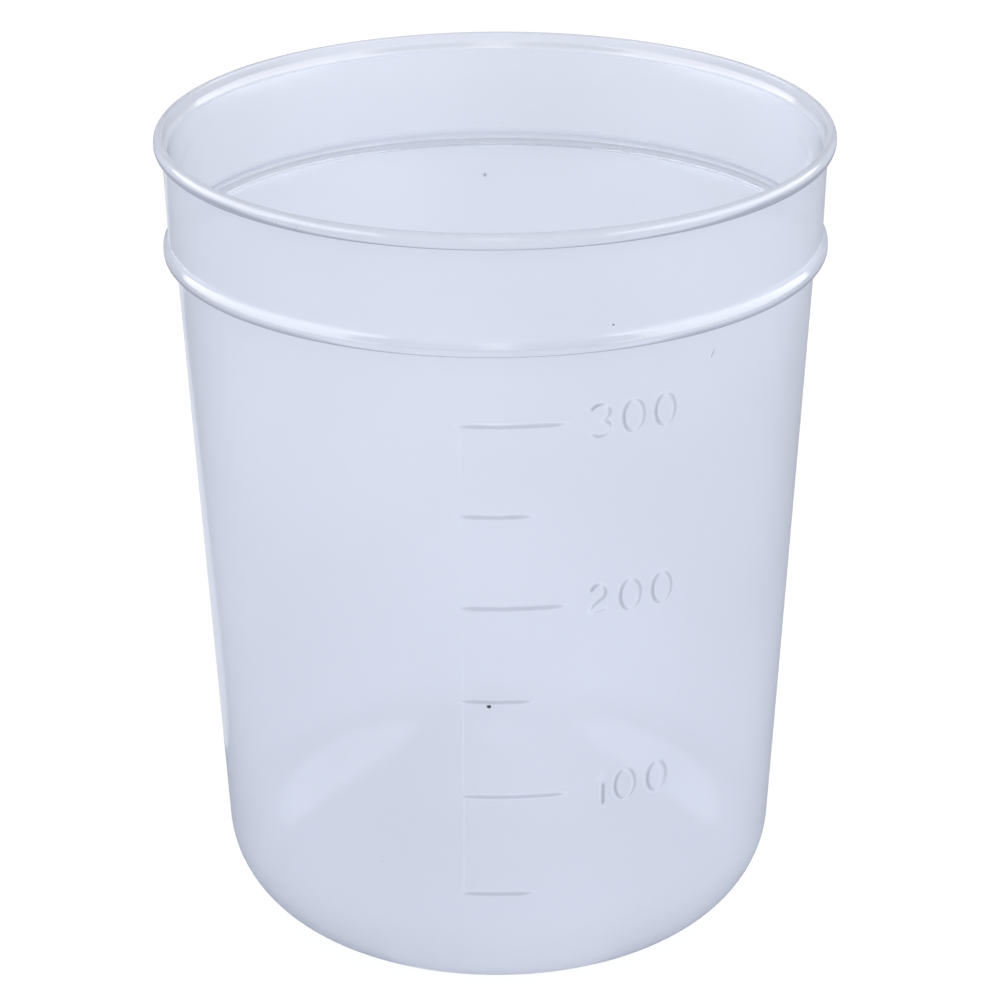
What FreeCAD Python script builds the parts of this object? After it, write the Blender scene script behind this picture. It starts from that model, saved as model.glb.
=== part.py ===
# A one-piece disposable laboratory cup, moulded in natural polypropylene.
# Its thin tapered wall stands on a narrow ring round a pushed-up floor, widens by an overhanging
# ring bead into a plain collar, and ends in a beaded rim. The wall follows the ring bead inside,
# as a groove with a ledge below it. Six volume marks stand proud of the outer wall, each
# starting at a fine upright scale line.
# Millimetres, +Z up. The origin is the middle of the standing ring, on the surface it rests on,
# and the marks face -Y.
import FreeCAD, Part
import math
import os

from FreeCAD import Vector

# Wall
WALL = 0.65
FLOOR = 0.70

# Base
PUSH_UP = 2.0
PUSH_UP_R = 9.0
STAND_IN_R = 18.0
BASE_CORNER = 12.4

# Tapered body, measured where it meets the underside of the ring bead
BODY_TOP_R = 38.8
BODY_HEIGHT = 87.4
BODY_DRAFT = 3.3

# Ring bead
RING_R = 40.25
RING_BAND = 1.0
RING_SHOULDER = 0.8

# Collar, from the shoulder of the ring bead up to the rim
COLLAR_R = 39.6
COLLAR_HEIGHT = 11.1
COLLAR_DRAFT = 2.1

# Rim
RIM_R = 41.0
RIM_HEIGHT = 1.9
LIP = 1.2
RIM_BEVEL = 0.52
LEDGE = 0.7

# Volume marks on the outer wall
MARK_STEP_ML = 50
MARK_COUNT = 6
LONG_MARK = 12.6
SHORT_MARK = 8.6
MARK_PROUD = 0.2
MARK_WIDTH = 0.6
MARK_CREST = 0.22
SCALE_LINE_X = -4.2
SCALE_LINE_PROUD = 0.08
SCALE_LINE_WIDTH = 0.35
SCALE_LINE_END = 0.9
MARK_ROOT = 0.3

# Heights and slopes that follow from the sizes above
BODY_SLOPE = math.tan(math.radians(BODY_DRAFT))
COLLAR_SLOPE = math.tan(math.radians(COLLAR_DRAFT))
SHOULDER_Z = BODY_HEIGHT + RING_BAND
COLLAR_Z = SHOULDER_Z + RING_SHOULDER
RIM_Z = COLLAR_Z + COLLAR_HEIGHT
TOP_Z = RIM_Z + RIM_HEIGHT
COLLAR_TOP_R = COLLAR_R + COLLAR_SLOPE * COLLAR_HEIGHT
BODY_SKEW_WALL = WALL / math.cos(math.radians(BODY_DRAFT))
ML = 1000.0


def body_radius(z):
    """Outer radius of the tapered body at height z."""
    return BODY_TOP_R - BODY_SLOPE * (BODY_HEIGHT - z)


def rounded_wire(corners):
    """Closed wire in the XZ plane through (radius, height, rounding) corners."""
    points = [Vector(r, 0, z) for r, z, rounding in corners]
    edges = []
    start = None
    first = None
    for i, (r, z, rounding) in enumerate(corners):
        here = points[i]
        if rounding:
            back = (points[i - 1] - here).normalize()
            ahead = (points[(i + 1) % len(points)] - here).normalize()
            half = back.getAngle(ahead) / 2
            reach = rounding / math.tan(half)
            enter = here + back * reach
            leave = here + ahead * reach
            middle = (back + ahead).normalize() * (rounding / math.sin(half) - rounding)
            arc = Part.Arc(enter, here + middle, leave).toShape()
        else:
            enter = here
            leave = here
            arc = None
        if start is None:
            first = enter
        else:
            edges.append(Part.LineSegment(start, enter).toShape())
        if arc:
            edges.append(arc)
        start = leave
    edges.append(Part.LineSegment(start, first).toShape())
    return Part.Wire(edges)


def turned(corners):
    """Solid of revolution about Z of a rounded outline."""
    face = Part.Face(rounded_wire(corners))
    return face.revolve(Vector(0, 0, 0), Vector(0, 0, 1), 360)


def outer_corners():
    """Outside of the cup, from the middle of the floor up to the top of the rim."""
    return [
        (0, PUSH_UP, 0),
        (PUSH_UP_R, PUSH_UP, 0),
        (STAND_IN_R, 0, 0),
        (body_radius(0), 0, BASE_CORNER),
        (BODY_TOP_R, BODY_HEIGHT, 0),
        (RING_R, BODY_HEIGHT, 0),
        (RING_R, SHOULDER_Z, 0),
        (COLLAR_R, COLLAR_Z, 0),
        (COLLAR_TOP_R, RIM_Z, 0),
        (RIM_R - RIM_BEVEL, RIM_Z, 0),
        (RIM_R, RIM_Z + RIM_BEVEL, 0),
        (RIM_R, TOP_Z - RIM_BEVEL, 0),
        (RIM_R - RIM_BEVEL, TOP_Z, 0),
    ]


def inner_corners():
    """Inside of the cup, from the top of the lip down to the middle of the floor."""
    collar_in = COLLAR_R - WALL
    groove_in = RING_R - WALL
    ledge_z = BODY_HEIGHT + WALL
    body_in = body_radius(ledge_z) - BODY_SKEW_WALL
    collar_in_top = collar_in + COLLAR_SLOPE * COLLAR_HEIGHT
    return [
        (RIM_R - LIP, TOP_Z, 0),
        (RIM_R - LIP, RIM_Z + LEDGE, 0),
        (collar_in_top, RIM_Z, 0),
        (collar_in, COLLAR_Z, 0),
        (groove_in, ledge_z, 0),
        (body_in, ledge_z, 0),
        (body_radius(FLOOR) - BODY_SKEW_WALL, FLOOR, BASE_CORNER - WALL),
        (STAND_IN_R, FLOOR, 0),
        (PUSH_UP_R, PUSH_UP + FLOOR, 0),
        (0, PUSH_UP + FLOOR, 0),
    ]


def mark_heights():
    """Heights at which the filled cup holds each marked volume."""
    inside = inner_corners()
    axis_top = [(0, TOP_Z, 0)]
    lip_top = [(RIM_R - LIP, TOP_Z, 0)]
    cavity = turned(inside[1:] + axis_top + lip_top)
    start_z = BASE_CORNER
    start_r = body_radius(start_z) - BODY_SKEW_WALL
    below = Part.makeCylinder(BODY_TOP_R, start_z)
    held = cavity.common(below).Volume
    heights = []
    for i in range(MARK_COUNT):
        wanted = MARK_STEP_ML * ML * (i + 1)
        # A cone's volume grows with the cube of its radius.
        cube = start_r ** 3 + 3 * BODY_SLOPE * (wanted - held) / math.pi
        heights.append(start_z + (cube ** (1 / 3) - start_r) / BODY_SLOPE)
    return heights


def mark(z, length):
    """One raised mark: a low ridge with sloped sides that runs right from the scale line."""
    r = body_radius(z)
    start = math.degrees(math.asin(SCALE_LINE_X / r))
    end = math.degrees(math.asin((SCALE_LINE_X + length) / r))
    low_z = z - MARK_WIDTH / 2
    high_z = z + MARK_WIDTH / 2
    corners = [
        Vector(r - MARK_ROOT, 0, low_z),
        Vector(body_radius(low_z), 0, low_z),
        Vector(r + MARK_PROUD, 0, z - MARK_CREST / 2),
        Vector(r + MARK_PROUD, 0, z + MARK_CREST / 2),
        Vector(body_radius(high_z), 0, high_z),
        Vector(r - MARK_ROOT, 0, high_z),
    ]
    section = Part.Face(Part.makePolygon(corners + corners[:1]))
    ridge = section.revolve(Vector(0, 0, 0), Vector(0, 0, 1), end - start)
    ridge.rotate(Vector(0, 0, 0), Vector(0, 0, 1), start - 90)
    return ridge


def scale_line(low_z, high_z):
    """The fine upright line that joins the left ends of the marks."""
    half = SCALE_LINE_WIDTH / 2
    sections = []
    for z in (low_z, high_z):
        r = body_radius(z)
        depth = math.sqrt(r ** 2 - SCALE_LINE_X ** 2)
        corners = [
            Vector(SCALE_LINE_X - half, MARK_ROOT - depth, z),
            Vector(SCALE_LINE_X + half, MARK_ROOT - depth, z),
            Vector(SCALE_LINE_X + half, -depth, z),
            Vector(SCALE_LINE_X, -depth - SCALE_LINE_PROUD, z),
            Vector(SCALE_LINE_X - half, -depth, z),
        ]
        sections.append(Part.makePolygon(corners + corners[:1]))
    return Part.makeLoft(sections, True, True)


def make_cup():
    """The whole cup as one moulded solid."""
    wall = turned(outer_corners() + inner_corners())
    heights = mark_heights()
    raised = []
    for i, z in enumerate(heights):
        length = LONG_MARK if i % 2 else SHORT_MARK
        raised.append(mark(z, length))
    raised.append(scale_line(heights[0] - SCALE_LINE_END, heights[-1]))
    return wall.fuse(raised).removeSplitter()


os.makedirs("parts", exist_ok=True)
cup = make_cup()
cup.exportStep("parts/cup.step")
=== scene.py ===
import math

import bmesh
import bpy
from bpy.props import FloatProperty, FloatVectorProperty, IntProperty, PointerProperty
from mathutils import Matrix, Quaternion, Vector


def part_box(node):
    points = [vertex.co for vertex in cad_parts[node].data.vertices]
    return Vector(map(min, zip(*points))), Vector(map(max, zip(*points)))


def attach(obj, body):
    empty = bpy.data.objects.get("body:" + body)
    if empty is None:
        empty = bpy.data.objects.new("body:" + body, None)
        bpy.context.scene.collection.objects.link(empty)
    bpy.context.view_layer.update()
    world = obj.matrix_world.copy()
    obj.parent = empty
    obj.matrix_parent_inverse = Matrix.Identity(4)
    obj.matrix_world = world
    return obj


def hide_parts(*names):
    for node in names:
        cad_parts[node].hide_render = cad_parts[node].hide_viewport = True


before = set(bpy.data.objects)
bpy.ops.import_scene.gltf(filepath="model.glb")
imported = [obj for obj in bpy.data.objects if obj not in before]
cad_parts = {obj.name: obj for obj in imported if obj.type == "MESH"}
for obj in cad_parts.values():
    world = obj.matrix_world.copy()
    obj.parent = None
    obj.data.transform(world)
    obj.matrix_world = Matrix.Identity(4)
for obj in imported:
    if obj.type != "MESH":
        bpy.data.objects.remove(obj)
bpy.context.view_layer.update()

bl_info = {
    "name": "Disposable lab cup",
    "version": (1, 0, 0),
    "blender": (4, 5, 0),
    "location": "3D View > Sidebar > Lab cup",
    "description": "Moulds a translucent disposable lab cup with volume marks and numerals",
    "category": "Add Mesh",
}

CUP_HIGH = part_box("cup")[1]
MM = 0.001
ML = 1e-6
WELD_DISTANCE = 1e-6
SENSOR_WIDTH = 36.0

# Painted light and shade by the plastic's relief: a painted highlight at the foot of a mark,
# painted shade towards its crest and under the beads, in place of light bent by the clear plastic.
# The ramp's colours are RAMP_LEVEL times the tint, which leaves room over 1.
RAMP_LEVEL = 0.9
RELIEF_PAINTED_LIGHT = (
    (0.0, (0.90, 0.90, 0.90)),
    (0.12, (0.95, 0.95, 0.95)),
    (0.26, (0.92, 0.92, 0.92)),
    (0.46, (0.77, 0.77, 0.775)),
    (0.70, (0.73, 0.73, 0.745)),
    (1.0, (0.56, 0.56, 0.59)),
)
CLEAR_ROUGHNESS = 0.085
# Share of the haze that a mirrored ray doesn't meet, so that gloss inside shows the lamps outside.
MIRROR_CLEARS = 0.9
# (height in mm, share): haze inside, in the floor, the ring bead's groove and the lip. Its colour
# changes between two shares of the height from a darker grey, painted shade in the floor, to a
# lighter one, painted light in the lip and groove.
FLOOR_HAZE = ((8.5, 1.0), (13.0, 0.0))
GROOVE_HAZE = ((87.7, 0.0), (87.9, 0.70), (89.3, 0.70), (89.5, 0.0))
LIP_HAZE = ((99.9, 0.0), (100.1, 0.80), (102.2, 0.80))
LIP_COLOUR_FROM = (0.3, 0.6)

# Ripple of the surface and cloudiness of the plastic, by Object coordinates.
RIPPLE_SCALE = 90.0
RIPPLE_STRENGTH = 0.06
RIPPLE_HEIGHT = 0.6 * MM
CLOUD_SCALE = 26.0
CLOUD_RANGE = (0.3, 0.7)
CLOUD_SHARE = 0.015

# Roundings of the outline. The rim bead's is a share of its height.
RIM_ROUNDING = 0.46
FLOOR_ROUNDING = 10 * MM
STAND_ROUNDING = 8 * MM
UNDERCUT_ROUNDING = 0.25 * MM
RING_ROUNDING = 0.35 * MM
SHOULDER_ROUNDING = 0.42 * MM
COLLAR_ROUNDING = 1.0 * MM
CREASE_ROUNDING = 0.2 * MM
LIP_ROUNDING = 0.45 * MM
GROOVE_ROUNDING = 0.5 * MM
LEDGE_ROUNDING = 0.6 * MM
# Height of the straight part of the groove inside, share of the lip's width that is level on top,
# and heights of the spare rows inside the body.
GROOVE_BAND = 0.65 * MM
LIP_TOP = 0.78
INNER_ROWS = (60 * MM, 20 * MM)
# Rows close together reach this share of a mark's width and of a digit's height from its middle.
MARK_BAND = 0.56
DIGIT_BAND = 0.60
MARK_CUTS = 10
DIGIT_CUTS = 14
PLAIN_CUTS = 2

# Marks: how far they start left of the scale line, the share of their width at the tips, and how
# strong their painted shade is; the scale line's weaker share of it gives a painted highlight.
# The scale line fades over LINE_FADE above one of the marks, to LINE_FAINTEST.
MARK_LEAD = 0.8 * MM
MARK_TIP = 0.5
MARK_PAINTED_SHADE = 0.70
LINE_PAINTED_HIGHLIGHT = 0.16
LINE_FADE = 12 * MM
LINE_FADE_MARK = 2
LINE_FAINTEST = 0.25

# Degrees below level where the painted shade on the underside of a bead starts: at the front and
# back, and at the sides, which it reaches BEAD_TURN times sooner. It is full BEAD_FADE degrees
# further down.
BEAD_UNDERSIDE = (34.0, -22.0)
BEAD_FADE = 20.0
BEAD_TURN = 3
BEAD_MARGIN = 0.05 * MM
# A point inside the ring bead near its lower edge, from which the angle of its painted shade is
# taken.
RING_SHADE_RADIUS = 0.5 * MM
RING_SHADE_LIFT = 1.15

# Azimuths run from -Y towards +X, as they are read from the front of the cup.
# Each sector is (end azimuth in degrees, steps): scale line, marks, numerals, plain rest.
SECTOR_START = -7.6
SECTORS = ((-5.6, 14), (16.0, 36), (36.6, 84), (352.4, 122))

# (number, place of each digit's middle along the wall in mm, lift over the mark's height in mm)
NUMERALS = (
    ("100", (12.67, 15.58, 19.95), 0.0),
    ("200", (12.00, 16.02, 20.25), 0.3),
    ("300", (12.05, 16.20, 20.32), 0.0),
)
# (azimuth in degrees, height, half length, half width in mm, turn in degrees, dark)
FLECKS = (
    (-1.71, 42.2, 0.27, 0.24, 0.0, True),
    (182.0, 83.6, 0.20, 0.30, 0.0, False),
    (19.5, 90.35, 0.13, 0.11, 0.0, True),
    (40.3, 84.0, 0.62, 0.11, -66.0, False),
    (-23.7, 19.5, 0.12, 0.09, 0.0, False),
    (-37.4, 101.05, 0.24, 0.20, 0.0, False),
    (-33.2, 101.15, 0.24, 0.20, 0.0, False),
    (73.0, 65.35, 0.12, 0.25, 0.0, False),
)

# Flecks: depth across the wall, roughness, size of the grain and its range of brightness.
FLECK_DEPTH = 0.12 * MM
FLECK_ROUGHNESS = 0.5
FLECK_GRAIN = 4000.0
FLECK_SHADES = (0.8, 1.2)

# (setting of its brightness, place, aim, width and height, rays that don't meet it), in metres.
# The first ones stand at both sides.
SIDE_LAMPS = (
    ("side_light", (0.60, -0.08, 0.38), (0.0, -0.08, 0.09), (1.45, 0.56), ["diffuse"]),
    ("fill_light", (0.70, -0.62, 0.14), (0.0, 0.0, 0.05), (0.7, 0.3), ["glossy"]),
)
LAMPS = (
    ("front_light", (0.0, -0.75, 0.72), (0.0, 0.0, 0.08), (0.22, 0.42), ["diffuse"]),
    (
        "left_card",
        (-0.076, 0.165, 0.001),
        (-0.076, 0.165, 1.0),
        (0.060, 0.27),
        ["diffuse", "transmission"],
    ),
    (
        "table_glow",
        (0.0, 0.0, 0.0005),
        (0.0, 0.0, 1.0),
        (0.50, 0.50),
        ["glossy", "transmission"],
    ),
    (
        "foot_light",
        (0.0, -0.032, 0.0008),
        (0.0, -0.032, 1.0),
        (0.034, 0.020),
        ["transmission"],
    ),
)
# The card lies on the table, turned a little about the upright.
CARD_TURN = Quaternion((0, 0, 1), 0.20) @ Quaternion((1, 0, 0), math.pi)

# The floor is lit from above, and shines white for the camera and through the cup.
FLOOR_RADIUS = 6.0
FLOOR_COLOUR = (0.400, 0.417, 0.455, 1)
FLOOR_SHINE = 1.31
FLOOR_SHINE_SHARE = 0.70


def length_setting(name, description, millimetres):
    """A size in metres whose default is written in millimetres."""
    return FloatProperty(
        name=name,
        description=description,
        default=millimetres * MM,
        min=0.0,
        precision=5,
        unit="LENGTH",
    )


def colour_setting(name, description, colour):
    """A linear colour without alpha."""
    return FloatVectorProperty(
        name=name,
        description=description,
        default=colour,
        min=0.0,
        max=1.0,
        size=3,
        subtype="COLOR",
    )


def share_setting(name, description, share):
    """A share from 0 to 1."""
    return FloatProperty(
        name=name,
        description=description,
        default=share,
        min=0.0,
        max=1.0,
        subtype="FACTOR",
    )


class CupSizes(bpy.types.PropertyGroup):
    """Sizes of the moulded wall."""

    rim_radius: FloatProperty(
        name="Rim radius",
        description="Outer radius of the rim bead",
        default=CUP_HIGH.x,
        unit="LENGTH",
    )
    height: FloatProperty(
        name="Height",
        description="Height of the cup, from the standing ring to the top of the rim",
        default=CUP_HIGH.z,
        unit="LENGTH",
    )
    wall: length_setting("Wall", "Thickness of the wall", 0.65)
    floor: length_setting("Floor", "Thickness of the floor", 0.70)
    push_up: length_setting("Push-up", "How far the middle of the floor is raised", 2.0)
    push_up_radius: length_setting(
        "Push-up radius", "Radius of the raised middle of the floor", 9.0
    )
    stand_radius: length_setting(
        "Standing ring radius", "Inner radius of the ring it stands on", 18.0
    )
    base_corner: length_setting(
        "Base corner", "Radius between the wall and the standing ring", 12.4
    )
    body_radius: length_setting("Body radius", "Outer radius of the body under the ring bead", 38.8)
    body_height: length_setting("Body height", "Height of the underside of the ring bead", 87.4)
    body_draft: FloatProperty(
        name="Body draft",
        description="Slope of the body wall",
        default=math.radians(3.3),
        subtype="ANGLE",
    )
    ring_radius: length_setting("Ring radius", "Outer radius of the ring bead", 40.25)
    ring_band: length_setting("Ring band", "Height of the straight band of the ring bead", 1.0)
    ring_shoulder: length_setting("Ring shoulder", "Height of the slope over the ring bead", 0.8)
    collar_radius: length_setting(
        "Collar radius", "Outer radius of the collar over the ring bead", 39.6
    )
    collar_draft: FloatProperty(
        name="Collar draft",
        description="Slope of the collar wall",
        default=math.radians(2.1),
        subtype="ANGLE",
    )
    rim_height: length_setting("Rim height", "Height of the rim bead", 1.9)
    lip: length_setting("Lip", "Width of the rim bead at its top", 1.2)
    ledge: length_setting("Ledge", "Height of the slope under the lip, inside", 0.7)


class MarkSizes(bpy.types.PropertyGroup):
    """Sizes of the raised volume marks, the scale line and the numerals."""

    first_height: length_setting("First mark", "Height of the mark for 50 ml", 16.54)
    step_volume: FloatProperty(
        name="Volume step",
        description="Volume between two marks, in millilitres",
        default=50.0,
    )
    count: IntProperty(name="Marks", description="Number of volume marks", default=6)
    long_mark: length_setting("Long mark", "Length of the numbered marks", 12.6)
    short_mark: length_setting("Short mark", "Length of the marks between them", 8.8)
    mark_width: length_setting("Mark width", "Width of a mark at its foot", 1.0)
    mark_proud: length_setting("Mark height", "How far a mark stands proud of the wall", 0.22)
    mark_taper: length_setting("Mark taper", "Length over which a mark runs out at its ends", 2.6)
    line_x: FloatProperty(
        name="Scale line",
        description="Place of the scale line across the front",
        default=-4.2 * MM,
        unit="LENGTH",
    )
    line_width: length_setting("Line width", "Width of the scale line at its foot", 0.40)
    line_proud: length_setting("Line height", "How far the scale line stands proud", 0.07)
    digit_height: length_setting("Digit height", "Height of a digit, between stroke middles", 4.0)
    digit_width: length_setting("Digit width", "Width of a digit, between stroke middles", 2.65)
    stroke_width: length_setting("Stroke width", "Width of a digit's stroke at its foot", 0.82)
    stroke_proud: length_setting("Stroke height", "How far a digit's stroke stands proud", 0.20)


class Finish(bpy.types.PropertyGroup):
    """Colours and gloss of the plastic."""

    milk_colour: colour_setting(
        "Milky colour", "What the plastic sends back of the light on it", (0.812, 0.833, 0.905)
    )
    glow_colour: colour_setting(
        "Glow colour", "What the plastic lets through as soft light", (0.825, 0.853, 0.93)
    )
    clear_colour: colour_setting(
        "Clear tint", "Tint of what is seen through the wall", (0.93, 0.945, 0.975)
    )
    milk: share_setting("Milkiness", "Share of the wall that scatters light", 0.70)
    glow: share_setting("Glow", "Share of the scattered light that passes to the other side", 0.40)
    gloss_roughness: share_setting("Gloss roughness", "Roughness of the surface", 0.13)
    refraction: FloatProperty(name="Refraction", description="Refractive index", default=1.49)
    base_haze: share_setting("Base haze", "Milkiness of the floor and base corner inside", 0.60)
    # A darker grey than the milky colour: painted shade over the floor inside.
    floor_shade_colour: colour_setting(
        "Base colour", "Colour of the haze in the floor", (0.54, 0.55, 0.57)
    )
    # Lighter than the milky colour: painted light on the lip and groove bands inside.
    lip_light_colour: colour_setting(
        "Lip colour", "Colour of the haze in the lip and groove", (0.88, 0.892, 0.93)
    )
    fleck_colour: colour_setting(
        "Fleck colour", "Dark fleck moulded into the wall", (0.04, 0.04, 0.06)
    )
    faint_colour: colour_setting("Faint colour", "Fainter flecks and nicks", (0.53, 0.55, 0.62))


class StageSettings(bpy.types.PropertyGroup):
    """Camera, floor and light."""

    distance: length_setting(
        "Camera distance", "From the camera to the point that it aims at", 501.0
    )
    elevation: FloatProperty(
        name="Camera elevation",
        description="Angle of the camera above the horizon",
        default=0.3968,
        subtype="ANGLE",
    )
    aim_height: length_setting("Aim height", "Height of the point that the camera aims at", 53.36)
    aim_right: length_setting("Aim offset", "How far right of the axis the camera aims", 0.373)
    roll: FloatProperty(
        name="Camera roll",
        description="Turn of the camera about its own axis",
        default=-0.0053,
        subtype="ANGLE",
    )
    lens: FloatProperty(
        name="Lens",
        description="Focal length for a 36 mm sensor, in millimetres",
        default=144.5,
    )
    room: share_setting("Room light", "Soft light from all round", 0.838)
    gleam: share_setting("Room reflection", "Brightness of the room in glossy surfaces", 0.50)
    side_light: FloatProperty(
        name="Side light",
        description="Brightness of the long soft boxes at both sides",
        default=4.2,
    )
    fill_light: FloatProperty(
        name="Fill light",
        description="Brightness of the wide low soft box in front of the cup",
        default=3.6,
    )
    left_card: FloatProperty(
        name="Card",
        description="Brightness of the pale card that the left edge reflects",
        default=0.38,
    )
    table_glow: FloatProperty(
        name="Table",
        description="Soft light from the pale table round the foot of the cup",
        default=0.28,
    )
    foot_light: FloatProperty(
        name="Foot light",
        description="Light sent back under the front of the base corner",
        default=0.15,
    )
    front_light: FloatProperty(
        name="Front light",
        description="Brightness of the narrow soft box above the camera",
        default=3.0,
    )


def smooth_bump(distance, half_width):
    """Rounded ridge section: 1 on the middle line, 0 past half_width, level at both."""
    if distance >= half_width:
        return 0.0
    share = distance / half_width
    return (1 - share * share) ** 2


def body_radius_at(sizes, z):
    """Outer radius of the tapered body at height z."""
    return sizes.body_radius - math.tan(sizes.body_draft) * (sizes.body_height - z)


def mark_heights(sizes, marks):
    """Heights of the marks. Between them the tapered wall holds equal volumes."""
    slope = math.tan(sizes.body_draft)
    skew_wall = sizes.wall / math.cos(sizes.body_draft)
    inner_first = body_radius_at(sizes, marks.first_height) - skew_wall
    heights = []
    for i in range(marks.count):
        volume = i * marks.step_volume * ML
        cube = inner_first ** 3 + 3 * slope * volume / math.pi
        heights.append(marks.first_height + (cube ** (1 / 3) - inner_first) / slope)
    return heights


def body_rows(sizes, marks):
    """(height, cuts up to the next height) rows of the outer wall, close at marks and digits."""
    rows = []
    for i, z in enumerate(mark_heights(sizes, marks)):
        band = marks.mark_width * MARK_BAND
        if i % 2:
            edge = (marks.digit_height + marks.stroke_width) * DIGIT_BAND
            rows += [(z - edge, DIGIT_CUTS), (z - band, MARK_CUTS)]
            rows += [(z + band, DIGIT_CUTS), (z + edge, PLAIN_CUTS)]
        else:
            rows += [(z - band, MARK_CUTS), (z + band, PLAIN_CUTS)]
    return rows


def outer_outline(sizes, marks):
    """(radius, height, rounding, segments, cuts to the next point) from the axis up to the lip."""
    s = sizes
    rim_z = s.height - s.rim_height
    shoulder_z = s.body_height + s.ring_band
    collar_z = shoulder_z + s.ring_shoulder
    collar_top = s.collar_radius + math.tan(s.collar_draft) * (rim_z - collar_z)
    bead = s.rim_height * RIM_ROUNDING
    points = [
        (0.0, s.push_up, 0.0, 0, 0),
        (s.push_up_radius, s.push_up, FLOOR_ROUNDING, 6, 0),
        (s.stand_radius, 0.0, STAND_ROUNDING, 6, 0),
        (body_radius_at(s, 0.0), 0.0, s.base_corner, 26, 0),
    ]
    for z, cuts in body_rows(s, marks):
        points.append((body_radius_at(s, z), z, 0.0, 0, cuts))
    points += [
        (s.body_radius, s.body_height, UNDERCUT_ROUNDING, 3, 0),
        (s.ring_radius, s.body_height, RING_ROUNDING, 6, 0),
        (s.ring_radius, shoulder_z, SHOULDER_ROUNDING, 6, 0),
        (s.collar_radius, collar_z, COLLAR_ROUNDING, 5, 0),
        (collar_top, rim_z, CREASE_ROUNDING, 3, 0),
        (s.rim_radius, rim_z, bead, 8, 0),
        (s.rim_radius, s.height, bead, 8, 0),
        (s.rim_radius - s.lip * LIP_TOP, s.height, 0.0, 0, 0),
    ]
    return points


def inner_outline(sizes):
    """The same for the inside, from the lip down to the axis."""
    s = sizes
    rim_z = s.height - s.rim_height
    collar_z = s.body_height + s.ring_band + s.ring_shoulder
    collar_in = s.collar_radius - s.wall
    collar_in_top = collar_in + math.tan(s.collar_draft) * (rim_z - collar_z)
    groove_in = s.ring_radius - s.wall
    ledge_z = s.body_height + s.wall
    skew_wall = s.wall / math.cos(s.body_draft)
    return [
        (s.rim_radius - s.lip * LIP_TOP, s.height, 0.0, 0, 0),
        (s.rim_radius - s.lip, s.height, UNDERCUT_ROUNDING, 3, 0),
        (s.rim_radius - s.lip, rim_z + s.ledge, LIP_ROUNDING, 5, 0),
        (collar_in_top, rim_z, LIP_ROUNDING, 5, 0),
        (collar_in, collar_z, COLLAR_ROUNDING, 5, 0),
        (groove_in, ledge_z + GROOVE_BAND, GROOVE_ROUNDING, 4, 0),
        (groove_in, ledge_z, CREASE_ROUNDING, 3, 0),
        (body_radius_at(s, ledge_z) - skew_wall, ledge_z, LEDGE_ROUNDING, 6, 0),
        (body_radius_at(s, INNER_ROWS[0]) - skew_wall, INNER_ROWS[0], 0.0, 0, 1),
        (body_radius_at(s, INNER_ROWS[1]) - skew_wall, INNER_ROWS[1], 0.0, 0, 0),
        (body_radius_at(s, s.floor) - skew_wall, s.floor, s.base_corner - s.wall, 22, 0),
        (s.stand_radius, s.floor, STAND_ROUNDING, 5, 0),
        (s.push_up_radius, s.push_up + s.floor, FLOOR_ROUNDING, 5, 0),
        (0.0, s.push_up + s.floor, 0.0, 0, 0),
    ]


def draw_outline(bm, outline):
    """Draws an outline as edges at the first azimuth, rounds its corners and cuts its rows."""
    start = math.radians(SECTOR_START)
    points = []
    for radius, height, *_ in outline:
        points.append(Vector((radius * math.sin(start), -radius * math.cos(start), height)))
    verts = [bm.verts.new(point) for point in points]
    edges = [bm.edges.new(pair) for pair in zip(verts, verts[1:])]
    for i, (_, _, rounding, segments, _) in enumerate(outline):
        if not rounding:
            continue
        back = points[i - 1] - points[i]
        ahead = points[i + 1] - points[i]
        bmesh.ops.bevel(
            bm,
            geom=[verts[i]],
            offset=rounding / math.tan(back.angle(ahead) / 2),
            offset_type="OFFSET",
            segments=segments,
            profile=0.5,
            affect="VERTICES",
            clamp_overlap=True,
            material=-1,
        )
    for edge, (_, _, _, _, cuts), (_, _, rounding, _, _) in zip(edges, outline, outline[1:]):
        if cuts and not rounding:
            bmesh.ops.subdivide_edges(bm, edges=[edge], cuts=cuts)


def turn_outline(outline, material):
    """Mesh of an outline turned once round the axis, sector by sector."""
    bm = bmesh.new()
    draw_outline(bm, outline)
    geom = bm.verts[:] + bm.edges[:]
    azimuth = SECTOR_START
    for end, steps in SECTORS:
        made = bmesh.ops.spin(
            bm,
            geom=geom,
            cent=(0, 0, 0),
            axis=(0, 0, 1),
            dvec=(0, 0, 0),
            angle=math.radians(end - azimuth),
            steps=steps,
            use_duplicate=False,
        )
        geom = made["geom_last"]
        azimuth = end
    for face in bm.faces:
        face.material_index = material
        face.smooth = True
    return bm


def add_piece(bm, name, materials):
    """Closes a mesh, faces it outwards and rides it on the cup's body."""
    bmesh.ops.remove_doubles(bm, verts=bm.verts[:], dist=WELD_DISTANCE)
    bmesh.ops.recalc_face_normals(bm, faces=bm.faces[:])
    mesh = bpy.data.meshes.new(name)
    bm.to_mesh(mesh)
    bm.free()
    for material in materials:
        mesh.materials.append(material)
    piece = bpy.data.objects.new(name, mesh)
    bpy.context.scene.collection.objects.link(piece)
    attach(piece, "root")
    return piece


def node(tree, kind, **sockets):
    """A shader node with its sockets set by name, where an underscore stands for a space."""
    made = tree.nodes.new(kind)
    for name, value in sockets.items():
        made.inputs[name.replace("_", " ")].default_value = value
    return made


def ramp(tree, stops):
    """A colour ramp. stops are (place, colour) pairs."""
    made = tree.nodes.new("ShaderNodeValToRGB")
    elements = made.color_ramp.elements
    for place, colour in stops[1:-1]:
        elements.new(place)
    for element, (place, colour) in zip(elements, stops):
        element.position = place
        element.color = (*colour, 1.0)
    return made


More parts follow.
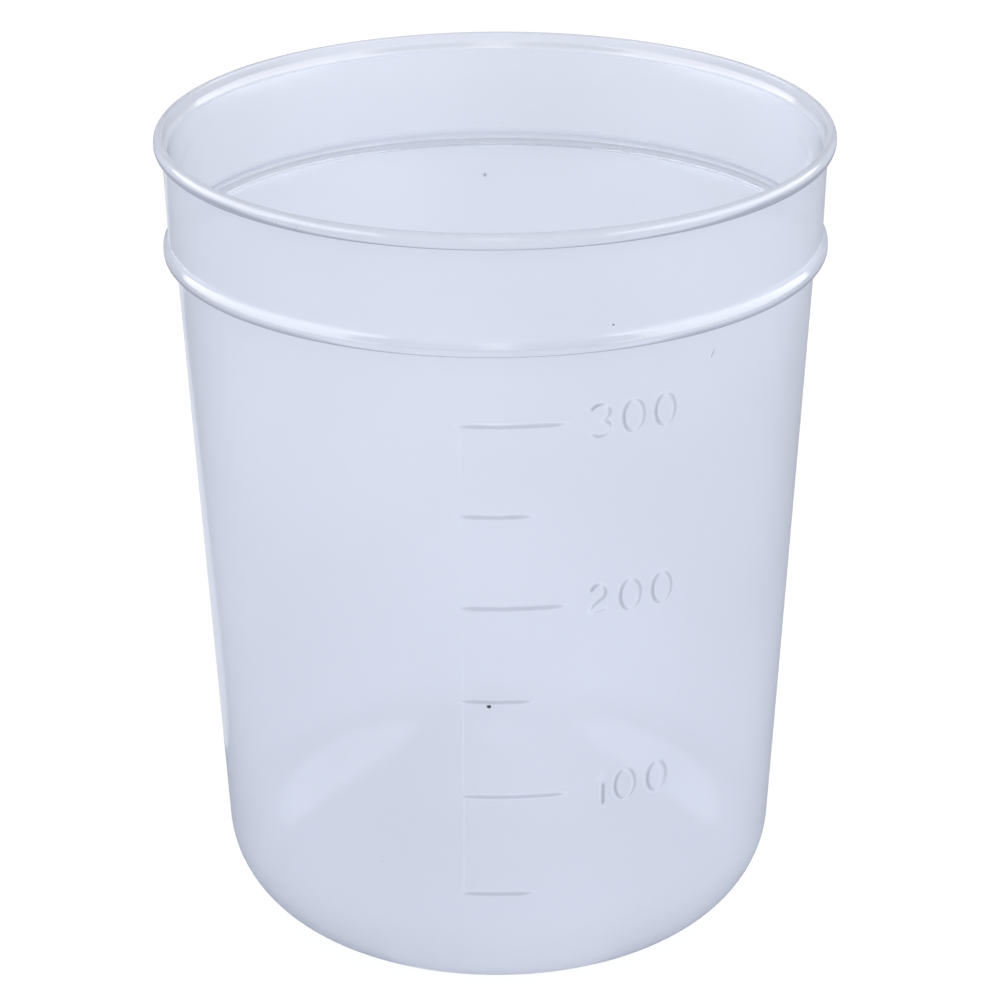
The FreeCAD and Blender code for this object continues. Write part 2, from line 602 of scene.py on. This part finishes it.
def tinted(tree, tint, colour):
    """The tint times a colour, or times the socket that gives one."""
    made = tree.nodes.new("ShaderNodeVectorMath")
    made.operation = "MULTIPLY"
    tree.links.new(tint, made.inputs[0])
    if isinstance(colour, bpy.types.NodeSocket):
        tree.links.new(colour, made.inputs[1])
    else:
        made.inputs[1].default_value = colour
    return made.outputs["Vector"]


def map_range(tree, value, from_low, from_high, to_low, to_high, kind="SMOOTHSTEP"):
    """The value moved from one range to another."""
    made = node(
        tree,
        "ShaderNodeMapRange",
        From_Min=from_low,
        From_Max=from_high,
        To_Min=to_low,
        To_Max=to_high,
    )
    made.interpolation_type = kind
    tree.links.new(value, made.inputs["Value"])
    return made.outputs["Result"]


def larger(tree, first, second):
    """The larger of two values."""
    made = node(tree, "ShaderNodeMath")
    made.operation = "MAXIMUM"
    tree.links.new(first, made.inputs[0])
    tree.links.new(second, made.inputs[1])
    return made.outputs[0]


def product(tree, first, second):
    """Two values multiplied."""
    made = node(tree, "ShaderNodeMath")
    made.operation = "MULTIPLY"
    tree.links.new(first, made.inputs[0])
    tree.links.new(second, made.inputs[1])
    return made.outputs[0]


def clear_plastic(tree, finish, tint, normal):
    """Clear wall: glass that lets light through to what lies behind it."""
    link = tree.links.new
    glass = node(tree, "ShaderNodeBsdfGlass", Roughness=CLEAR_ROUGHNESS, IOR=finish.refraction)
    through = node(tree, "ShaderNodeBsdfTransparent")
    # The tint, painted highlight and shade, also colours what is seen through the wall.
    colour = tinted(tree, tint, finish.clear_colour)
    link(colour, glass.inputs["Color"])
    link(colour, through.inputs["Color"])
    link(normal, glass.inputs["Normal"])
    path = node(tree, "ShaderNodeLightPath")
    plain_ray = larger(tree, path.outputs["Is Diffuse Ray"], path.outputs["Is Reflection Ray"])
    clear = node(tree, "ShaderNodeMixShader")
    link(plain_ray, clear.inputs[0])
    link(glass.outputs[0], clear.inputs[1])
    link(through.outputs[0], clear.inputs[2])
    return clear.outputs[0]


def milky_plastic(tree, finish, tint, normal, colour):
    """Wall that scatters light, with a gloss."""
    link = tree.links.new
    sent_back = node(
        tree,
        "ShaderNodeBsdfPrincipled",
        Roughness=finish.gloss_roughness,
        IOR=finish.refraction,
    )
    # The tint carries the painted highlight and shade.
    link(tinted(tree, tint, colour), sent_back.inputs["Base Color"])
    link(normal, sent_back.inputs["Normal"])
    glow = node(tree, "ShaderNodeBsdfTranslucent")
    link(tinted(tree, tint, finish.glow_colour), glow.inputs["Color"])
    milky = node(tree, "ShaderNodeMixShader", Fac=finish.glow)
    link(sent_back.outputs[0], milky.inputs[1])
    link(glow.outputs[0], milky.inputs[2])
    return milky.outputs[0]


def rippled_normal(tree, place):
    """Slight ripple of the moulded surface."""
    ripple = node(tree, "ShaderNodeTexNoise", Scale=RIPPLE_SCALE, Detail=0.0)
    bump = node(tree, "ShaderNodeBump", Strength=RIPPLE_STRENGTH, Distance=RIPPLE_HEIGHT)
    tree.links.new(place, ripple.inputs["Vector"])
    tree.links.new(ripple.outputs["Fac"], bump.inputs["Height"])
    return bump.outputs["Normal"]


def painted_relief_light(tree, cloud):
    """Painted highlight and shade by the piece's own mesh attribute, slightly clouded."""
    low = (1 - CLOUD_SHARE) / RAMP_LEVEL
    high = (1 + CLOUD_SHARE) / RAMP_LEVEL
    shade = map_range(tree, cloud, *CLOUD_RANGE, low, high)
    painted_light = node(tree, "ShaderNodeAttribute")
    painted_light.attribute_name = "painted_light"
    edge_tint = ramp(tree, RELIEF_PAINTED_LIGHT)
    tree.links.new(painted_light.outputs["Fac"], edge_tint.inputs["Fac"])
    scaled = node(tree, "ShaderNodeVectorMath")
    scaled.operation = "SCALE"
    tree.links.new(edge_tint.outputs["Color"], scaled.inputs[0])
    tree.links.new(shade, scaled.inputs["Scale"])
    return scaled.outputs["Vector"]


def inside_haze(tree, place, finish):
    """Haze of the inside by height; its colour is painted shade in the floor, painted light higher
    up.
    """
    height = bpy.context.scene.lab_cup_sizes.height
    split = node(tree, "ShaderNodeSeparateXYZ")
    tree.links.new(place, split.inputs[0])
    up = map_range(tree, split.outputs["Z"], 0.0, height, 0.0, 1.0, "LINEAR")
    floor_haze = [(at, share * finish.base_haze) for at, share in FLOOR_HAZE]
    stops = []
    for at, share in (*floor_haze, *GROOVE_HAZE, *LIP_HAZE):
        stops.append((at * MM / height, (share, share, share)))
    bands = ramp(tree, stops)
    tree.links.new(up, bands.inputs["Fac"])
    colour = node(tree, "ShaderNodeMix")
    colour.data_type = "VECTOR"
    tree.links.new(map_range(tree, up, *LIP_COLOUR_FROM, 0.0, 1.0), colour.inputs[0])
    # Inputs 4 and 5 and output 1 are the node's vectors.
    colour.inputs[4].default_value = finish.floor_shade_colour
    colour.inputs[5].default_value = finish.lip_light_colour
    return bands.outputs["Color"], colour.outputs[1]


def met_haze(tree, path, haze):
    """The haze as a ray meets it: a ray mirrored by gloss passes most of it."""
    mirrored = product(tree, path.outputs["Is Reflection Ray"], path.outputs["Is Glossy Ray"])
    met = node(tree, "ShaderNodeMath")
    met.operation = "MULTIPLY_ADD"
    tree.links.new(mirrored, met.inputs[0])
    met.inputs[1].default_value = -MIRROR_CLEARS
    met.inputs[2].default_value = 1.0
    return product(tree, haze, met.outputs[0])


def with_plain_shadow(tree, path, shader, colour):
    """The shader, which for shadow rays is only a clear film of a colour."""
    film = node(tree, "ShaderNodeBsdfTransparent", Color=(*colour, 1.0))
    lit = node(tree, "ShaderNodeMixShader")
    tree.links.new(path.outputs["Is Shadow Ray"], lit.inputs[0])
    tree.links.new(shader, lit.inputs[1])
    tree.links.new(film.outputs[0], lit.inputs[2])
    return lit.outputs[0]


def plastic(name, outside):
    """Glossy natural polypropylene, hazy all over its outside and in bands inside. Its colour
    carries painted highlight and shade along the marks, numerals and beads.
    """
    finish = bpy.context.scene.lab_cup_finish
    material = bpy.data.materials.new(name)
    material.use_nodes = True
    tree = material.node_tree
    tree.nodes.clear()
    link = tree.links.new
    place = node(tree, "ShaderNodeTexCoord").outputs["Object"]
    normal = rippled_normal(tree, place)
    cloud = node(tree, "ShaderNodeTexNoise", Scale=CLOUD_SCALE, Detail=1.0, Roughness=0.5)
    link(place, cloud.inputs["Vector"])
    # Painted highlight and shade from the mesh attribute, with a random cloud of tone.
    tint = painted_relief_light(tree, cloud.outputs["Fac"])
    if outside:
        low = finish.milk - CLOUD_SHARE
        high = finish.milk + CLOUD_SHARE
        haze = map_range(tree, cloud.outputs["Fac"], *CLOUD_RANGE, low, high)
        colour = finish.milk_colour
        passed = 1 - finish.milk
    else:
        haze, colour = inside_haze(tree, place, finish)
        passed = 1.0
    path = node(tree, "ShaderNodeLightPath")
    whole = node(tree, "ShaderNodeMixShader")
    link(met_haze(tree, path, haze), whole.inputs[0])
    link(clear_plastic(tree, finish, tint, normal), whole.inputs[1])
    link(milky_plastic(tree, finish, tint, normal, colour), whole.inputs[2])
    film_colour = [passed * share for share in finish.clear_colour]
    surface = with_plain_shadow(tree, path, whole.outputs[0], film_colour)
    output = node(tree, "ShaderNodeOutputMaterial")
    link(surface, output.inputs["Surface"])
    return material


def paint_bead_shade(bm, sizes):
    """Writes painted shade on the rim bead and ring bead, darkest at their lower edges, with a thin
    painted highlight above the dark.
    """
    painted_light = bm.verts.layers.float.new("painted_light")
    rim_z = sizes.height - sizes.rim_height
    bead = sizes.rim_height * RIM_ROUNDING
    low = sizes.body_height - BEAD_MARGIN
    shoulder_top = sizes.body_height + sizes.ring_band + sizes.ring_shoulder
    front, side = BEAD_UNDERSIDE
    for vert in bm.verts:
        x, y, z = vert.co
        radius = math.hypot(x, y)
        if z > rim_z and radius > sizes.rim_radius - bead:
            middle_r = sizes.rim_radius - bead
            middle_z = rim_z + bead
        elif low < z < shoulder_top and radius > sizes.collar_radius + BEAD_MARGIN:
            middle_r = sizes.ring_radius - RING_SHADE_RADIUS
            middle_z = sizes.body_height + RING_SHADE_RADIUS * RING_SHADE_LIFT
        else:
            continue
        below = math.degrees(math.atan2(middle_z - z, max(radius - middle_r, 0.0)))
        # At the sides of the cup the painted shade starts higher on the bead and so is wider.
        start = max(side, front + (side - front) * BEAD_TURN * (1 - abs(y) / radius))
        vert[painted_light] = min(1.0, max(0.0, (below - start) / BEAD_FADE))


class LABCUP_OT_wall(bpy.types.Operator):
    """Mould the cup: turn its outside and inside outlines and close them at the lip"""

    bl_idname = "lab_cup.wall"
    bl_label = "Mould the cup"

    def execute(self, context):
        sizes = context.scene.lab_cup_sizes
        marks = context.scene.lab_cup_marks
        outside = turn_outline(outer_outline(sizes, marks), 0)
        inside = turn_outline(inner_outline(sizes), 1)
        spare = bpy.data.meshes.new("inside")
        inside.to_mesh(spare)
        inside.free()
        outside.from_mesh(spare)
        bpy.data.meshes.remove(spare)
        materials = [plastic("cup_skin", True), plastic("cup_inside", False)]
        paint_bead_shade(outside, sizes)
        cup = add_piece(outside, "lab_cup", materials)
        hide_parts("cup")
        return {"FINISHED"}


def raise_wall(height_of):
    """Moves the outer wall outwards by (height, tint) of height_of(distance along it, x, z). The
    tint is the strength of painted highlight and shade written to the mesh attribute.
    """
    sizes = bpy.context.scene.lab_cup_sizes
    cup = bpy.data.objects.get("lab_cup")
    if cup is None:
        raise RuntimeError("mould the cup before its marks")
    bm = bmesh.new()
    bm.from_mesh(cup.data)
    painted_light = bm.verts.layers.float["painted_light"]
    low = math.radians(SECTOR_START)
    high = math.radians(SECTORS[-2][0])
    for vert in bm.verts:
        x, y, z = vert.co
        azimuth = math.atan2(x, -y)
        radius = math.hypot(x, y)
        if not low <= azimuth <= high or z < sizes.base_corner or z > sizes.body_height:
            continue
        if radius < body_radius_at(sizes, z) - sizes.wall / 2:
            continue
        proud, tint = height_of(azimuth * radius, x, z)
        if proud > 0:
            vert.co += Vector((x, y, 0)) * (proud / radius)
            vert[painted_light] = max(vert[painted_light], tint)
    bm.to_mesh(cup.data)
    bm.free()


class LABCUP_OT_marks(bpy.types.Operator):
    """Raise the volume marks and the scale line out of the wall"""

    bl_idname = "lab_cup.marks"
    bl_label = "Raise the marks"

    def execute(self, context):
        marks = context.scene.lab_cup_marks
        heights = mark_heights(context.scene.lab_cup_sizes, marks)

        def proud_at(along, x, z):
            share = smooth_bump(abs(x - marks.line_x), marks.line_width / 2)
            if heights[0] < z < heights[-1]:
                from_top = heights[LINE_FADE_MARK] + LINE_FADE - z
                share *= min(1.0, max(LINE_FAINTEST, from_top / LINE_FADE))
            else:
                share = 0.0
            best = share * marks.line_proud
            # Tint: strength of painted light and shade, a painted highlight on the scale line,
            # shade on marks.
            tint = share * LINE_PAINTED_HIGHLIGHT
            for i, mark_z in enumerate(heights):
                length = marks.long_mark if i % 2 else marks.short_mark
                from_end = min(x - marks.line_x + MARK_LEAD, marks.line_x + length - x)
                if from_end < 0:
                    continue
                fade = min(1.0, from_end / marks.mark_taper)
                fade = fade * (2 - fade)
                half = marks.mark_width / 2 * (MARK_TIP + (1 - MARK_TIP) * fade)
                share = fade * smooth_bump(abs(z - mark_z), half)
                best = max(best, share * marks.mark_proud)
                tint = max(tint, share * MARK_PAINTED_SHADE)
            return best, tint

        raise_wall(proud_at)
        return {"FINISHED"}


def arc_points(middle, half_width, half_height, start, end, strengths, count=16):
    """(x, y, strength) points of an elliptic arc, in degrees from the right, anticlockwise."""
    points = []
    for i in range(count + 1):
        share = i / count
        angle = math.radians(start + (end - start) * share)
        step = share * (len(strengths) - 1)
        before = min(int(step), len(strengths) - 2)
        strength = strengths[before] + (strengths[before + 1] - strengths[before]) * (step - before)
        points.append(Vector((
            middle[0] + half_width * math.cos(angle),
            middle[1] + half_height * math.sin(angle),
            strength,
        )))
    return points


def digit_stroke(digit):
    """Stroke of a digit in a box from -1 to 1 both ways. Its third value is how proud it stands,
    and also how strong its painted shade is.
    """
    if digit == "0":
        strengths = (0.72, 0.80, 0.16, 0.85, 1.0, 0.92, 0.22, 0.50, 0.72)
        return arc_points((0, 0), 1, 1, 0, 360, strengths, 32)
    if digit == "1":
        flag = [Vector((-0.5, 0.6, 0.22)), Vector((0.0, 1.0, 0.25)), Vector((0.0, 0.45, 0.3))]
        return flag + [Vector((0.0, 0.2, 1.0)), Vector((0.0, -1.0, 1.0))]
    if digit == "2":
        bowl = arc_points((-0.06, 0.43), 0.68, 0.54, 155, -30, (1.0, 0.9, 0.15, 0.85, 0.85))
        slope = [Vector((-0.48, -0.34, 0.65)), Vector((-0.85, -0.84, 0.14))]
        foot = [Vector((-0.45, -0.80, 0.40)), Vector((0.5, -0.72, 0.42)), Vector((0.8, -0.7, 0.1))]
        return bowl + slope + foot
    if digit == "3":
        upper = arc_points((0, 0.5), 0.88, 0.5, 150, -90, (1.0, 1.0, 0.10, 0.90, 0.50, 0.05))
        lower = arc_points((0, -0.5), 0.95, 0.5, 90, -150, (0.05, 0.85, 0.30, 0.35, 0.90, 0.30))
        return upper + lower[1:]
    raise ValueError(f"no stroke for digit {digit!r}")


def nearest_on_stroke(point, stroke):
    """Distance from a point to the nearest part of a stroke, and the stroke's strength there."""
    best = math.inf
    strength = 0.0
    for start, end in zip(stroke, stroke[1:]):
        run = (end - start).to_2d()
        share = (point - start.to_2d()).dot(run) / run.length_squared
        nearest = start.lerp(end, min(1.0, max(0.0, share)))
        away = (point - nearest.to_2d()).length
        if away < best:
            best = away
            strength = nearest.z
    return best, strength


class LABCUP_OT_numerals(bpy.types.Operator):
    """Raise the numerals beside the long marks"""

    bl_idname = "lab_cup.numerals"
    bl_label = "Raise the numerals"

    def execute(self, context):
        marks = context.scene.lab_cup_marks
        heights = mark_heights(context.scene.lab_cup_sizes, marks)
        digits = []
        for height, (number, places, lift) in zip(heights[1::2], NUMERALS):
            for place, digit in zip(places, number):
                middle = Vector((place * MM, height + lift * MM))
                stroke = []
                for x, y, strength in digit_stroke(digit):
                    along = middle.x + x * marks.digit_width / 2
                    up = middle.y + y * marks.digit_height / 2
                    stroke.append(Vector((along, up, strength)))
                digits.append((middle, stroke))
        reach = marks.digit_height / 2 + marks.stroke_width

        def proud_at(along, x, z):
            point = Vector((along, z))
            share = 0.0
            for middle, stroke in digits:
                if abs(along - middle.x) > reach or abs(z - middle.y) > reach:
                    continue
                away, strength = nearest_on_stroke(point, stroke)
                share = max(share, strength * smooth_bump(away, marks.stroke_width / 2))
            # The share is also how strong the painted light and shade on the stroke are.
            return share * marks.stroke_proud, share

        raise_wall(proud_at)
        return {"FINISHED"}


def fleck_material(name, colour):
    """Dust or a mark moulded into the plastic, unevenly dark."""
    material = bpy.data.materials.new(name)
    material.use_nodes = True
    tree = material.node_tree
    skin = tree.nodes["Principled BSDF"]
    skin.inputs["Roughness"].default_value = FLECK_ROUGHNESS
    place = node(tree, "ShaderNodeTexCoord")
    grain = node(tree, "ShaderNodeTexNoise", Scale=FLECK_GRAIN, Detail=2.0)
    tree.links.new(place.outputs["Object"], grain.inputs["Vector"])
    level = map_range(tree, grain.outputs["Fac"], *CLOUD_RANGE, *FLECK_SHADES)
    scaled = node(tree, "ShaderNodeVectorMath")
    scaled.operation = "SCALE"
    scaled.inputs[0].default_value = colour
    tree.links.new(level, scaled.inputs["Scale"])
    tree.links.new(scaled.outputs["Vector"], skin.inputs["Base Color"])
    return material


class LABCUP_OT_flecks(bpy.types.Operator):
    """Set the small dark flecks into the wall"""

    bl_idname = "lab_cup.flecks"
    bl_label = "Set the flecks"

    def execute(self, context):
        sizes = context.scene.lab_cup_sizes
        finish = context.scene.lab_cup_finish
        bm = bmesh.new()
        for azimuth, height, half_length, half_width, turn, dark in FLECKS:
            made = bmesh.ops.create_icosphere(bm, subdivisions=2, radius=1.0)
            z = height * MM
            if z > sizes.height - sizes.rim_height:
                radius = sizes.rim_radius - FLECK_DEPTH / 2
            elif z > sizes.body_height:
                radius = sizes.collar_radius
            else:
                radius = body_radius_at(sizes, z)
            if abs(azimuth) > 90:
                radius -= sizes.wall
            shape = Matrix.Diagonal((half_length * MM, FLECK_DEPTH, half_width * MM, 1.0))
            turned = Matrix.Rotation(math.radians(turn), 4, "Y") @ shape
            placed = Matrix.Translation((0.0, -radius, z)) @ turned
            whole = Matrix.Rotation(math.radians(azimuth), 4, "Z") @ placed
            bmesh.ops.transform(bm, matrix=whole, verts=made["verts"])
            for vert in made["verts"]:
                for face in vert.link_faces:
                    face.smooth = True
                    face.material_index = 0 if dark else 1
        colours = {"fleck_dark": finish.fleck_colour, "fleck_faint": finish.faint_colour}
        materials = [fleck_material(name, colour) for name, colour in colours.items()]
        add_piece(bm, "lab_cup_flecks", materials)
        return {"FINISHED"}


class LABCUP_OT_stage(bpy.types.Operator):
    """Set up the floor, the light and the camera"""

    bl_idname = "lab_cup.stage"
    bl_label = "Set the stage"

    def execute(self, context):
        settings = context.scene.lab_cup_stage
        scene = context.scene
        make_world(scene, settings)
        make_floor(scene)
        rows = [(side, *row) for side in (-1, 1) for row in SIDE_LAMPS]
        rows += [(1, *row) for row in LAMPS]
        for side, setting, place, aim, size, unmet in rows:
            place = Vector((side * place[0], place[1], place[2]))
            lamp = make_lamp(setting, place, Vector(aim), size, getattr(settings, setting))
            for kind in unmet:
                setattr(lamp, "visible_" + kind, False)
            if setting == "left_card":
                lamp.rotation_quaternion = CARD_TURN
        make_camera(scene, settings)
        scene.view_settings.view_transform = "Standard"
        return {"FINISHED"}


def make_world(scene, settings):
    """Even soft light from all round, white where the camera sees it or sees it through the cup."""
    world = bpy.data.worlds.new("studio")
    scene.world = world
    world.use_nodes = True
    tree = world.node_tree
    tree.nodes.clear()
    link = tree.links.new
    path = node(tree, "ShaderNodeLightPath")
    white = larger(tree, path.outputs["Is Camera Ray"], path.outputs["Is Transmission Ray"])
    level = node(tree, "ShaderNodeMix")
    level.inputs["A"].default_value = settings.room
    level.inputs["B"].default_value = settings.gleam
    link(path.outputs["Is Glossy Ray"], level.inputs["Factor"])
    final = node(tree, "ShaderNodeMix")
    link(white, final.inputs["Factor"])
    link(level.outputs["Result"], final.inputs["A"])
    final.inputs["B"].default_value = 1.0
    background = node(tree, "ShaderNodeBackground", Color=(1, 1, 1, 1))
    link(final.outputs["Result"], background.inputs["Strength"])
    output = node(tree, "ShaderNodeOutputWorld")
    link(background.outputs[0], output.inputs["Surface"])


def make_floor(scene):
    """Pale round floor that keeps the cup's shadow."""
    bm = bmesh.new()
    bmesh.ops.create_circle(bm, cap_ends=True, segments=96, radius=FLOOR_RADIUS)
    mesh = bpy.data.meshes.new("floor")
    bm.to_mesh(mesh)
    bm.free()
    floor = bpy.data.objects.new("floor", mesh)
    scene.collection.objects.link(floor)
    material = bpy.data.materials.new("pale_floor")
    material.use_nodes = True
    tree = material.node_tree
    tree.nodes.clear()
    link = tree.links.new
    path = node(tree, "ShaderNodeLightPath")
    white = larger(tree, path.outputs["Is Camera Ray"], path.outputs["Is Transmission Ray"])
    share = node(tree, "ShaderNodeMath")
    share.operation = "MULTIPLY"
    share.inputs[1].default_value = FLOOR_SHINE_SHARE
    link(white, share.inputs[0])
    lit = node(tree, "ShaderNodeBsdfDiffuse", Color=FLOOR_COLOUR)
    glow = node(tree, "ShaderNodeEmission", Color=(1, 1, 1, 1), Strength=FLOOR_SHINE)
    mix = node(tree, "ShaderNodeMixShader")
    link(share.outputs[0], mix.inputs[0])
    link(lit.outputs[0], mix.inputs[1])
    link(glow.outputs[0], mix.inputs[2])
    output = node(tree, "ShaderNodeOutputMaterial")
    link(mix.outputs[0], output.inputs["Surface"])
    mesh.materials.append(material)


def make_lamp(name, place, aim, size, brightness):
    """Oval soft box of the given brightness, where 1 looks white."""
    width, height = size
    light = bpy.data.lights.new(name, "AREA")
    light.shape = "ELLIPSE"
    light.size = width
    light.size_y = height
    light.energy = brightness * math.pi * width * height
    lamp = bpy.data.objects.new(name, light)
    lamp.location = place
    lamp.rotation_mode = "QUATERNION"
    lamp.rotation_quaternion = (aim - place).to_track_quat("-Z", "Y")
    lamp.visible_camera = False
    bpy.context.scene.collection.objects.link(lamp)
    return lamp


def make_camera(scene, settings):
    """Camera at the photograph's viewing angle."""
    data = bpy.data.cameras.new("camera")
    data.lens = settings.lens
    data.sensor_width = SENSOR_WIDTH
    camera = bpy.data.objects.new("camera", data)
    scene.collection.objects.link(camera)
    elevation = settings.elevation
    place = Vector((
        0.0,
        -settings.distance * math.cos(elevation),
        settings.aim_height + settings.distance * math.sin(elevation),
    ))
    aim = Vector((settings.aim_right, 0.0, settings.aim_height))
    camera.location = place
    camera.rotation_mode = "QUATERNION"
    turn = Quaternion((0, 0, 1), settings.roll)
    camera.rotation_quaternion = (aim - place).to_track_quat("-Z", "Y") @ turn
    scene.camera = camera


class LABCUP_PT_panel(bpy.types.Panel):
    """Lists the steps that make the cup."""

    bl_idname = "LABCUP_PT_panel"
    bl_label = "Lab cup"
    bl_space_type = "VIEW_3D"
    bl_region_type = "UI"
    bl_category = "Lab cup"

    def draw(self, context):
        for step in STEPS:
            self.layout.operator(step.bl_idname)


SETTINGS = {
    "lab_cup_sizes": CupSizes,
    "lab_cup_marks": MarkSizes,
    "lab_cup_finish": Finish,
    "lab_cup_stage": StageSettings,
}
STEPS = (LABCUP_OT_stage, LABCUP_OT_wall, LABCUP_OT_marks, LABCUP_OT_numerals, LABCUP_OT_flecks)
CLASSES = (*SETTINGS.values(), *STEPS, LABCUP_PT_panel)


def register():
    for item in CLASSES:
        bpy.utils.register_class(item)
    for name, group in SETTINGS.items():
        setattr(bpy.types.Scene, name, PointerProperty(type=group))


def unregister():
    for name in SETTINGS:
        delattr(bpy.types.Scene, name)
    for item in reversed(CLASSES):
        bpy.utils.unregister_class(item)


def main():
    register()
    bpy.ops.lab_cup.stage()
    bpy.ops.lab_cup.wall()
    bpy.ops.lab_cup.marks()
    bpy.ops.lab_cup.numerals()
    bpy.ops.lab_cup.flecks()


if __name__ == "__main__":
    main()
